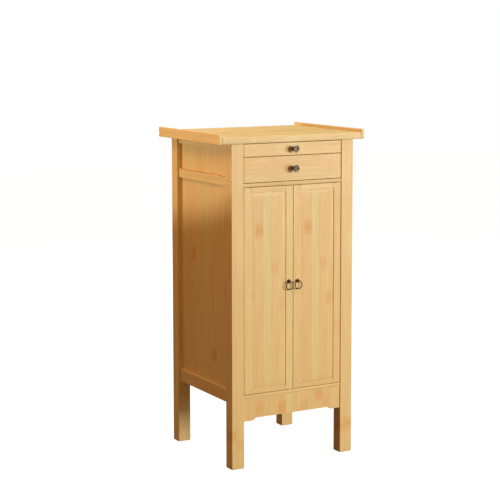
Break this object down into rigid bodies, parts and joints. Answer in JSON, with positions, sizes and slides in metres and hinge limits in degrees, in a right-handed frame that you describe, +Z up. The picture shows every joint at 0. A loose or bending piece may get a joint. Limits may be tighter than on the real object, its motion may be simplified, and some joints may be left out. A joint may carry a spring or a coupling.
{
  "type": "altar table",
  "caption": "Tall bamboo altar table: a top between raised cheeks over a pull-out tray, a drawer and a cupboard with a pair of framed doors, on long square legs.",
  "frame": {"origin": "on the floor, under the middle of the outline", "axes": "+X to the right as seen from the front, +Y to the back, +Z up"},
  "size_m": [0.5, 0.4208, 1],
  "materials": {
    "bamboo_frame": "laminated bamboo under satin lacquer",
    "bamboo_panel": "side-pressed bamboo strips with darker node marks, under satin lacquer",
    "bamboo_inner": "sanded bamboo with a thin matt sealer",
    "antique_bronze": "dark antique bronze, rubbed brighter on the edges",
    "steel_pin": "plain steel pin"
  },
  "bodies": {
    "cabinet": {"back_panel": "bamboo_panel", "back_rail_bottom": "bamboo_frame", "back_rail_top": "bamboo_frame", "cupboard_floor": "bamboo_inner", "divider_board": "bamboo_inner", "drawer_guide_left": "bamboo_inner", "drawer_guide_right": "bamboo_inner", "front_apron": "bamboo_frame", "post_back_left": "bamboo_frame", "post_back_right": "bamboo_frame", "post_front_left": "bamboo_frame", "post_front_right": "bamboo_frame", "side_panel_lower_left": "bamboo_panel", "side_panel_lower_right": "bamboo_panel", "side_panel_upper_left": "bamboo_panel", "side_panel_upper_right": "bamboo_panel", "side_rail_bottom_left": "bamboo_frame", "side_rail_bottom_right": "bamboo_frame", "side_rail_middle_left": "bamboo_frame", "side_rail_middle_right": "bamboo_frame", "side_rail_top_left": "bamboo_frame", "side_rail_top_right": "bamboo_frame", "top_board": "bamboo_panel", "top_cheek_left": "bamboo_frame", "top_cheek_right": "bamboo_frame", "tray_runner_left": "bamboo_inner", "tray_runner_right": "bamboo_inner"},
    "tray": {"tray_back": "bamboo_inner", "tray_bottom": "bamboo_inner", "tray_front": "bamboo_panel", "tray_knob": "antique_bronze", "tray_side_left": "bamboo_inner", "tray_side_right": "bamboo_inner"},
    "drawer": {"drawer_back": "bamboo_inner", "drawer_bottom": "bamboo_inner", "drawer_front": "bamboo_panel", "drawer_knob": "antique_bronze", "drawer_side_left": "bamboo_inner", "drawer_side_right": "bamboo_inner"},
    "door_left": {"door_left_panel": "bamboo_panel", "door_left_pin_bottom": "steel_pin", "door_left_pin_top": "steel_pin", "door_left_pull_post": "antique_bronze", "door_left_rail_bottom": "bamboo_frame", "door_left_rail_top": "bamboo_frame", "door_left_stile_inner": "bamboo_frame", "door_left_stile_outer": "bamboo_frame"},
    "door_right": {"door_right_panel": "bamboo_panel", "door_right_pin_bottom": "steel_pin", "door_right_pin_top": "steel_pin", "door_right_pull_post": "antique_bronze", "door_right_rail_bottom": "bamboo_frame", "door_right_rail_top": "bamboo_frame", "door_right_stile_inner": "bamboo_frame", "door_right_stile_outer": "bamboo_frame"},
    "ring_left": {"door_left_pull_ring": "antique_bronze"},
    "ring_right": {"door_right_pull_ring": "antique_bronze"}
  },
  "joints": [
    {"name": "tray_slide", "type": "slide", "parent": "cabinet", "child": "tray", "axis": [0, -1, 0], "range_m": [0, 0.24]},
    {"name": "drawer_slide", "type": "slide", "parent": "cabinet", "child": "drawer", "axis": [0, -1, 0], "range_m": [0, 0.24]},
    {"name": "door_left_hinge", "type": "hinge", "parent": "cabinet", "child": "door_left", "pos_m": [-0.1595, -0.1836, 0.53], "axis": [0, 0, -1], "range_deg": [0, 110]},
    {"name": "door_right_hinge", "type": "hinge", "parent": "cabinet", "child": "door_right", "pos_m": [0.1595, -0.1836, 0.53], "axis": [0, 0, 1], "range_deg": [0, 110]},
    {"name": "ring_left_swing", "type": "hinge", "parent": "door_left", "child": "ring_left", "pos_m": [-0.015, -0.1951, 0.552], "axis": [-1, 0, 0], "range_deg": [0, 90]},
    {"name": "ring_right_swing", "type": "hinge", "parent": "door_right", "child": "ring_right", "pos_m": [0.015, -0.1951, 0.552], "axis": [-1, 0, 0], "range_deg": [0, 90]}
  ]
}
